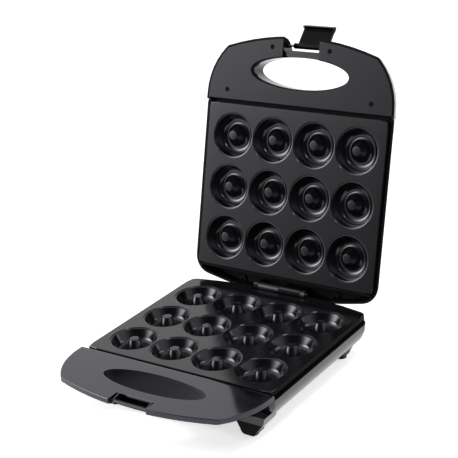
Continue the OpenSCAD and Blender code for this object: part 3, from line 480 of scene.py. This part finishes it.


# %% [markdown]
# ## A wider round for the lid's hand hole
#
# The panel on the inside of the lid's handle has an oval hand hole, and the edge round it gets painted
# shade, a near-black dull finish, so it draws a thin dark line. The edges of that oval are found by their
# place and bevelled more widely than the rest. A bevel weight on them would do the same in one modifier,
# but the edges would have to be found all the same.

# %% Round the hand hole
LID_FACE = -0.1
HOLE_HALF_WIDTH, HOLE_HALF_DEPTH, HOLE_MIDDLE = 63.0, 17.7, 246.2
HOLE_ROUND = 1.3
OVAL_SLACK = 0.06
FACE_SLACK = 0.3
lid_down = Matrix.Rotation(LID_OPEN, 3, "X")


def on_oval(co):
    """Whether a point lies on the edge between the panel's face and its hand hole."""
    across, forward, up = (lid_down @ (co - HINGE)) / MM
    ring = math.hypot(across / HOLE_HALF_WIDTH, (-forward - HOLE_MIDDLE) / HOLE_HALF_DEPTH)
    return abs(ring - 1) < OVAL_SLACK and abs(up - LID_FACE) < FACE_SLACK


def round_hole(piece):
    """Bevels the edge between the panel's face and its hand hole."""
    only(piece)
    bpy.ops.object.mode_set(mode="EDIT")
    bpy.ops.mesh.select_mode(type="EDGE")
    bpy.ops.mesh.select_all(action="DESELECT")
    mesh = bmesh.from_edit_mesh(piece.data)
    count = 0
    for edge in mesh.edges:
        on_edge = all(on_oval(vertex.co) for vertex in edge.verts)
        edge.select_set(on_edge)
        count += on_edge
    bmesh.update_edit_mesh(piece.data)
    bpy.ops.mesh.bevel(offset=HOLE_ROUND * MM, segments=BEVEL_SEGMENTS, affect="EDGES")
    bpy.ops.mesh.select_mode(type="VERT")
    bpy.ops.object.mode_set(mode="OBJECT")
    print("hole edges rounded:", count)


# %% [markdown]
# ## Casings, panels and latch
#
# Five mouldings make the outside: the lid, the panel of its handle, the lower casing, the deck of the
# front handle and the latch. Large mouldings have the rounder edges, and the polished deck has the
# finest. One loop softens them all, and the two that need more are reshaped on the way, while their
# triangles are merged but not yet bevelled.

# %% Soften the five mouldings
edge_widths = {"lid_shell": 0.5, "lid_handle_cover": 0.4, "base_shell": 0.4, "base_deck": 0.25, "latch": 0.3}
reshapes = {"base_deck": tighten_deck, "lid_handle_cover": round_hole}
finished = {name: soften(name, width, reshapes.get(name)) for name, width in edge_widths.items()}

# %% [markdown]
# ## Painted shade inside, other finishes by place
#
# The pocket round the hinge, the slot for the latch, the lid's rims, the edge of its hand hole and the
# tunnel of the lower hand hole lie in shade, and that shade is painted into them as a darker, dull finish.
# The legs and the barrels of the hinge have a surface of their own. The faces could be picked by hand, but
# here each face is found by where its middle lies, measured from the hinge with the lid closed, and by where
# it faces; it then gets a second material.


# %% A second finish by place
def second_finish(piece, finish, into, inside):
    """Gives a finish to the faces that pass a test of place, in millimetres from the hinge, and facing."""
    piece.data.materials.append(finishes[finish])
    slot = len(piece.data.materials) - 1
    count = 0
    for face in piece.data.polygons:
        across, forward, up = (into @ (face.center - HINGE)) / MM
        facing = into @ face.normal
        facing = Vector((math.copysign(1, across) * facing.x, -facing.y, facing.z))
        if inside(abs(across), -forward, up, facing):
            face.material_index = slot
            count += 1
    print(piece.name, finish, "faces:", count)


BOW_LENGTH = 1000.0
CORNER_BOW = 0.8


def within_back(across, forward, half, back, radius, wall):
    """Inside a bowed back wall and its round corners, with some of the wall left over."""
    bow = across * across / BOW_LENGTH
    if across > half - wall or forward < bow - back + wall:
        return False
    corner = Vector((across - half + radius, radius - back + bow * CORNER_BOW - forward))
    return not (corner.x > 0 and corner.y > 0 and corner.length > radius - wall)


def within_oval(across, forward, middle, half_width, half_depth):
    """Inside an oval whose middle lies that far in front of the hinge."""
    return math.hypot(across / half_width, (forward - middle) / half_depth) < 1


# %% Painted shade on the lid
POCKET_FLOOR, POCKET_FRONT = -2.3, 15.0
BACK_SKIN, SIDE_SKIN = 8.0, 95.0
LEANS_OUT = 0.12
FACES_UP = 0.6
FACES_DOWN = -0.9
PLATE_RIM_FRONT = 225.0
PANEL_RIM = (-0.3, 0.9)
PANEL_ROUND_LEAN = -0.985
SCREW_RECESS_FLOOR = 0.6


def in_lid_pocket(across, forward, up, facing):
    """The pocket round the hinge, without the outer skin of the lid."""
    on_back = facing.y < -LEANS_OUT and forward < BACK_SKIN
    on_side = facing.x > LEANS_OUT and across > SIDE_SKIN
    return (up > POCKET_FLOOR and forward < POCKET_FRONT and facing.z < FACES_UP
            and not on_back and not on_side
            and within_back(across, forward, half=122.0, back=8.5, radius=22.0, wall=1.6))


def on_lid_lip(across, forward, up, facing):
    """The shell's rim round the plate and round the handle's panel, which faces down in the closed lid."""
    return facing.z < FACES_DOWN and (forward < PLATE_RIM_FRONT or PANEL_RIM[0] < up < PANEL_RIM[1])


def on_hole_edge(across, forward, up, facing):
    """The rounded edge where the hand hole of the lid begins, and the floors of the screw recesses."""
    leans = facing.z > PANEL_ROUND_LEAN
    return up > SCREW_RECESS_FLOOR or leans and within_oval(
        across, forward, middle=HOLE_MIDDLE, half_width=65.8, half_depth=20.5)


# Painted shade in the hinge pocket and on the rims round the plate and the handle's panel.
second_finish(finished["lid_shell"], "painted_shade_black", lid_down,
              lambda *place: in_lid_pocket(*place) or on_lid_lip(*place))
# Painted shade on the edge of the hand hole and on the floors of the screw recesses.
second_finish(finished["lid_handle_cover"], "painted_shade_black", lid_down, on_hole_edge)

# %% Painted shade, legs and satin barrels of the base
LATCH_SLOT_HALF, LATCH_SLOT_BACK, LATCH_SLOT_FRONT, LATCH_SLOT_TOP = 22.5, 270.0, 281.4, -3.2
GROOVE_TOP, GROOVE_FRONT = -4.6, 208.0
FACES_DOWNWARDS = -0.05
CASING_BOTTOM = -37.6
KNUCKLES_HALF, KNUCKLE_REACH = 45.0, 7.5
UPRIGHT_WALL, TUNNEL_TOP = 0.8, -1.3
as_it_stands = Matrix.Identity(3)


def in_base_groove(across, forward, up, facing):
    """The slot for the latch's hook, and the trough between the base's plate and the wall round it."""
    if across < LATCH_SLOT_HALF and LATCH_SLOT_BACK < forward < LATCH_SLOT_FRONT and up < LATCH_SLOT_TOP:
        return True
    return (up < GROOVE_TOP and forward < GROOVE_FRONT and facing.z > FACES_DOWNWARDS
            and within_back(across, forward, half=119.8, back=3.0, radius=14.0, wall=1.2))


def on_leg(across, forward, up, facing):
    """All of the casing that stands below its bottom."""
    return up < CASING_BOTTOM


def on_knuckle(across, forward, up, facing):
    """The barrels round the hinge pin."""
    return across < KNUCKLES_HALF and math.hypot(forward, up) < KNUCKLE_REACH


def in_hand_hole(across, forward, up, facing):
    """The wall of the oval tunnel, which stands upright."""
    return (abs(facing.z) < UPRIGHT_WALL and up < TUNNEL_TOP
            and within_oval(across, forward, middle=241.8, half_width=64.5, half_depth=19.2))


# Painted shade in the latch slot and in the trough round the base's plate.
second_finish(finished["base_shell"], "painted_shade_black", as_it_stands, in_base_groove)
second_finish(finished["base_shell"], "leg_black", as_it_stands, on_leg)
second_finish(finished["base_shell"], "satin_black", as_it_stands, on_knuckle)
# Painted shade on the upright wall of the lower hand hole's tunnel.
for name in ("base_shell", "base_deck"):
    second_finish(finished[name], "tunnel_painted_shade", as_it_stands, in_hand_hole)

# %% [markdown]
# ## The cast plates
#
# Twelve ring moulds are the heart of the maker. Each is a channel with a round floor, a post in its
# middle and a fine step round its mouth. It could be carved out of a slab with booleans, but turning its
# profile round an axis gives even, clean faces that reflect in smooth arcs. One mould is spun, its rim is
# stretched to a rectangular cell, and two arrays repeat the cell; the flat border, the skirt and the wall
# thickness follow from the edge of that sheet.

# %% Sizes of the plates, in millimetres
RING_COLUMNS, RING_ROWS = 4, 3
PITCH_ACROSS, PITCH_DEEP = 54.2, 59.9
RING_RADIUS = 26.0
RING_CHAMFER = 0.95
RING_STEP = 1.05
CHANNEL_RADIUS = 6.6
CHANNEL_DEPTH = 13.0
CHANNEL_MIDDLE = 15.5
CHANNEL_STEPS = 16
MOUTH_DEPTH = 1.6
POST_TIP_RADIUS = 5.0
PLATE_HALF_WIDTH = 116.8
PLATE_REAR, PLATE_FRONT = 14.7, 206.5
PLATE_HALF_DEPTH = (PLATE_FRONT - PLATE_REAR) / 2
PLATE_MIDDLE = -(PLATE_REAR + PLATE_FRONT) / 2
PLATE_BACK_BORDER = 9.0
PLATE_SKIRT = 5.0
PLATE_CORNER = 4.5
PLATE_EDGE = 0.8
PLATE_WALL = 1.8
first_ring = (-(RING_COLUMNS - 1) / 2 * PITCH_ACROSS, PLATE_REAR + PLATE_BACK_BORDER + RING_RADIUS)
print("plate", 2 * PLATE_HALF_WIDTH, "by", round(2 * PLATE_HALF_DEPTH, 1), "mm")
print("first ring at", [round(value, 1) for value in first_ring])

# %% Profile of a ring mould
TIP_FLAT = -0.25
TIP_ROUND = (0.1, -0.12)
TIP_SIDE = 0.5
STEP_POINTS = ((0.12, -1.15), (0.5, -0.95))
LIP_POINTS = ((0.55, -0.85), (0.72, -0.7), (RING_CHAMFER - 0.1, -0.1), (RING_CHAMFER, 0))


def lean_of_tangent(run, drop):
    """The slope of the line that touches the round floor from a point that far aside and that far above."""
    return math.atan2(drop, run) + math.asin(CHANNEL_RADIUS / math.hypot(run, drop))


def ring_profile():
    """Radius and height from the middle of the post out to the step round the mouth."""
    centre = CHANNEL_RADIUS - CHANNEL_DEPTH
    wall = RING_RADIUS - RING_STEP
    post_lean = lean_of_tangent(CHANNEL_MIDDLE - POST_TIP_RADIUS, -centre)
    wall_lean = lean_of_tangent(wall - CHANNEL_MIDDLE, -centre - MOUTH_DEPTH)
    points = [(0, 0), (POST_TIP_RADIUS + TIP_FLAT, 0), (POST_TIP_RADIUS + TIP_ROUND[0], TIP_ROUND[1]),
              (POST_TIP_RADIUS + TIP_SIDE * math.cos(post_lean), -TIP_SIDE * math.sin(post_lean))]
    start, end = -(math.pi / 2 + post_lean), wall_lean - math.pi / 2
    for step in range(CHANNEL_STEPS + 1):
        angle = start + (end - start) * step / CHANNEL_STEPS
        points.append((CHANNEL_MIDDLE + CHANNEL_RADIUS * math.cos(angle),
                       centre + CHANNEL_RADIUS * math.sin(angle)))
    points.append((wall, -MOUTH_DEPTH))
    points += [(wall + out, height) for out, height in STEP_POINTS]
    points += [(RING_RADIUS + out, height) for out, height in LIP_POINTS]
    return points


print("profile points:", len(ring_profile()))

# %% One cell of the plate
SPIN_STEPS = 96
SPIN_MERGE = 0.005
TINY = 1e-9


def to_cell_edge(co):
    """Where a point of the rim goes: straight out to the edge of the cell, or into its corner."""
    half_x, half_y = PITCH_ACROSS / 2 * MM, PITCH_DEEP / 2 * MM
    angle = math.atan2(co.y, co.x)
    side_x, side_y = math.copysign(1, co.x), math.copysign(1, co.y)
    steepness = abs(angle if side_x > 0 else math.pi - abs(angle))
    if abs(steepness - math.atan2(half_y, half_x)) < math.pi / SPIN_STEPS:
        return Vector((side_x * half_x, side_y * half_y, 0))
    reach = min(half_x / max(abs(math.cos(angle)), TINY), half_y / max(abs(math.sin(angle)), TINY))
    return Vector((reach * math.cos(angle), reach * math.sin(angle), 0))


def ring_cell():
    """A ring mould whose flat border fills a rectangle, centred on its own axis."""
    mesh = bpy.data.meshes.new("ring_profile")
    profile = ring_profile()
    mesh.from_pydata([(radius * MM, 0, height * MM) for radius, height in profile],
                     [(i, i + 1) for i in range(len(profile) - 1)], [])
    cell = bpy.data.objects.new("ring_cell", mesh)
    bpy.context.collection.objects.link(cell)
    only(cell)
    bpy.ops.object.mode_set(mode="EDIT")
    bpy.ops.mesh.select_all(action="SELECT")
    bpy.ops.mesh.spin(steps=SPIN_STEPS, angle=math.tau, center=(0, 0, 0), axis=(0, 0, 1))
    bpy.ops.mesh.select_all(action="SELECT")
    bpy.ops.mesh.remove_doubles(threshold=SPIN_MERGE * MM)
    rim = (RING_RADIUS + RING_CHAMFER - 0.01) * MM
    mesh = bmesh.from_edit_mesh(cell.data)
    for vertex in mesh.verts:
        vertex.select_set(math.hypot(vertex.co.x, vertex.co.y) > rim)
    mesh.select_flush_mode()
    bmesh.update_edit_mesh(cell.data)
    bpy.ops.mesh.extrude_region_move(TRANSFORM_OT_translate={"value": (0, 0, 0)})
    mesh = bmesh.from_edit_mesh(cell.data)
    for vertex in mesh.verts:
        if vertex.select:
            vertex.co = to_cell_edge(vertex.co)
    bmesh.update_edit_mesh(cell.data)
    bpy.ops.object.mode_set(mode="OBJECT")
    print("cell faces:", len(cell.data.polygons))
    return cell


# %% The flat border
ON_LINE = 0.02
IN_CORNER = 0.01


def to_border(value, inner, outer):
    """Moves a coordinate that lies on the last cell's edge out to the plate's edge."""
    return outer if abs(value - inner) < ON_LINE else value


def round_corner(point):
    """Pulls a corner of the border in to an arc."""
    centre = Vector((PLATE_HALF_WIDTH, PLATE_HALF_DEPTH)) - Vector((PLATE_CORNER, PLATE_CORNER))
    offset = Vector((abs(point.x), abs(point.y - PLATE_MIDDLE))) - centre
    if offset.x <= IN_CORNER or offset.y <= IN_CORNER:
        return point
    reach = centre + offset.normalized() * PLATE_CORNER
    y = PLATE_MIDDLE + math.copysign(reach.y, point.y - PLATE_MIDDLE)
    return Vector((math.copysign(reach.x, point.x), y, 0))


def spread_border(plate):
    """Carries the outline of the repeated cells out to the outline of the plate."""
    edge_x = RING_COLUMNS / 2 * PITCH_ACROSS
    edge_back = -(first_ring[1] - PITCH_DEEP / 2)
    edge_front = edge_back - RING_ROWS * PITCH_DEEP
    count = 0
    for vertex in plate.data.vertices:
        point = vertex.co / MM
        if min(abs(abs(point.x) - edge_x), abs(point.y - edge_back), abs(point.y - edge_front)) < ON_LINE:
            x = math.copysign(to_border(abs(point.x), edge_x, PLATE_HALF_WIDTH), point.x)
            y = to_border(to_border(point.y, edge_back, -PLATE_REAR), edge_front, -PLATE_FRONT)
            vertex.co = round_corner(Vector((x, y, 0))) * MM
            count += 1
    print("border points:", count)


# %% Skirt and wall
CELL_MERGE = 0.01
FLAT_HEIGHT = 0.001
RIGHT_ANGLE_TURN = 0.9
SKIRT_SEGMENTS = 3
PLATE_SMOOTH_UNDER = math.radians(28)


def between_face_and_skirt(edge):
    """Whether an edge lies where the level face turns down into the skirt."""
    if not edge.is_manifold or max(abs(end.co.z) for end in edge.verts) >= FLAT_HEIGHT * MM:
        return False
    first, second = edge.link_faces
    return abs(first.normal.z - second.normal.z) > RIGHT_ANGLE_TURN


def bend_skirt(plate):
    """Draws the outline down into a skirt and rounds the edge above it."""
    only(plate)
    bpy.ops.object.mode_set(mode="EDIT")
    bpy.ops.mesh.select_all(action="SELECT")
    bpy.ops.mesh.normals_make_consistent(inside=False)
    bpy.ops.mesh.select_all(action="DESELECT")
    bpy.ops.mesh.select_mode(type="EDGE")
    bpy.ops.mesh.select_non_manifold()
    bpy.ops.mesh.extrude_region_move(TRANSFORM_OT_translate={"value": (0, 0, -PLATE_SKIRT * MM)})
    bpy.ops.mesh.select_mode(type="VERT")
    bpy.ops.object.mode_set(mode="OBJECT")
    mesh = bmesh.new()
    mesh.from_mesh(plate.data)
    border = [edge for edge in mesh.edges if between_face_and_skirt(edge)]
    for edge in mesh.edges:
        edge.select_set(False)
    for edge in border:
        edge.select_set(True)
    print("edges above the skirt:", len(border))
    mesh.to_mesh(plate.data)
    mesh.free()
    bpy.ops.object.mode_set(mode="EDIT")
    bpy.ops.mesh.select_mode(type="EDGE")
    bpy.ops.mesh.bevel(offset=PLATE_EDGE * MM, segments=SKIRT_SEGMENTS, affect="EDGES")
    bpy.ops.mesh.select_mode(type="VERT")
    bpy.ops.mesh.select_all(action="SELECT")
    bpy.ops.mesh.normals_make_consistent(inside=False)
    bpy.ops.object.mode_set(mode="OBJECT")


def cast_plate(name):
    """The plate seen from its face, with y backwards from the hinge axis and -z into the casing."""
    plate = ring_cell()
    plate.name = name
    plate.data.name = name
    for vertex in plate.data.vertices:
        vertex.co += Vector((first_ring[0], -first_ring[1], 0)) * MM
    for count, shift in ((RING_COLUMNS, (PITCH_ACROSS * MM, 0, 0)), (RING_ROWS, (0, -PITCH_DEEP * MM, 0))):
        apply(plate, "ARRAY", "repeat", count=count, use_relative_offset=False, use_constant_offset=True,
              constant_offset_displace=shift, use_merge_vertices=True, merge_threshold=CELL_MERGE * MM)
    spread_border(plate)
    bend_skirt(plate)
    flat = max(plate.data.polygons, key=lambda face: face.area)
    if flat.normal.z < 0:
        plate.data.flip_normals()
    apply(plate, "SOLIDIFY", "wall", thickness=PLATE_WALL * MM, offset=-1)
    bpy.ops.object.shade_smooth_by_angle(angle=PLATE_SMOOTH_UNDER)
    apply(plate, "WEIGHTED_NORMAL", "level faces", keep_sharp=True, weight=LEVEL_WEIGHT)
    return plate


# %% [markdown]
# ## Both plates in their places
#
# The two plates come out of the same tool, and the lid's hangs upside down above the base's. Each is
# built flat at the hinge, coated, and then carried to its place, the lid's with the lid's own turn. The
# coating ends at the edge: the rounded edge and the skirt get a near-black dull finish, which paints the
# shade of the dark gap round each plate.


# %% Coat and place the plates
def coat_plate(plate):
    """Gives a plate, while it still lies flat, the coating on its face and painted shade on its edge."""
    plate.data.materials.append(finishes["nonstick"])
    # The second slot is painted shade: it darkens the edge and skirt, where the gap round the plate lies in
    # shade.
    plate.data.materials.append(finishes["painted_shade_black"])
    count = 0
    for face in plate.data.polygons:
        x, y = abs(face.center.x) / MM, abs(face.center.y / MM - PLATE_MIDDLE)
        if x > PLATE_HALF_WIDTH - PLATE_EDGE or y > PLATE_HALF_DEPTH - PLATE_EDGE:
            face.material_index = 1
            count += 1
    print(plate.name, "dull edge faces:", count)


base_place = Matrix.Translation(HINGE + Vector((0, 0, BASE_FACE)) * MM)
lid_place = (Matrix.Translation(HINGE) @ Matrix.Rotation(-LID_OPEN, 4, "X")
             @ Matrix.Translation(Vector((0, 0, LID_FACE * MM))) @ Matrix.Rotation(math.pi, 4, "Y"))
for node, place in (("base_plate", base_place), ("lid_plate", lid_place)):
    plate = cast_plate(node + "_finished")
    coat_plate(plate)
    plate.data.transform(place)
    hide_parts(node)
    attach(plate, body_of(node))
    print(node, "faces:", len(plate.data.polygons))
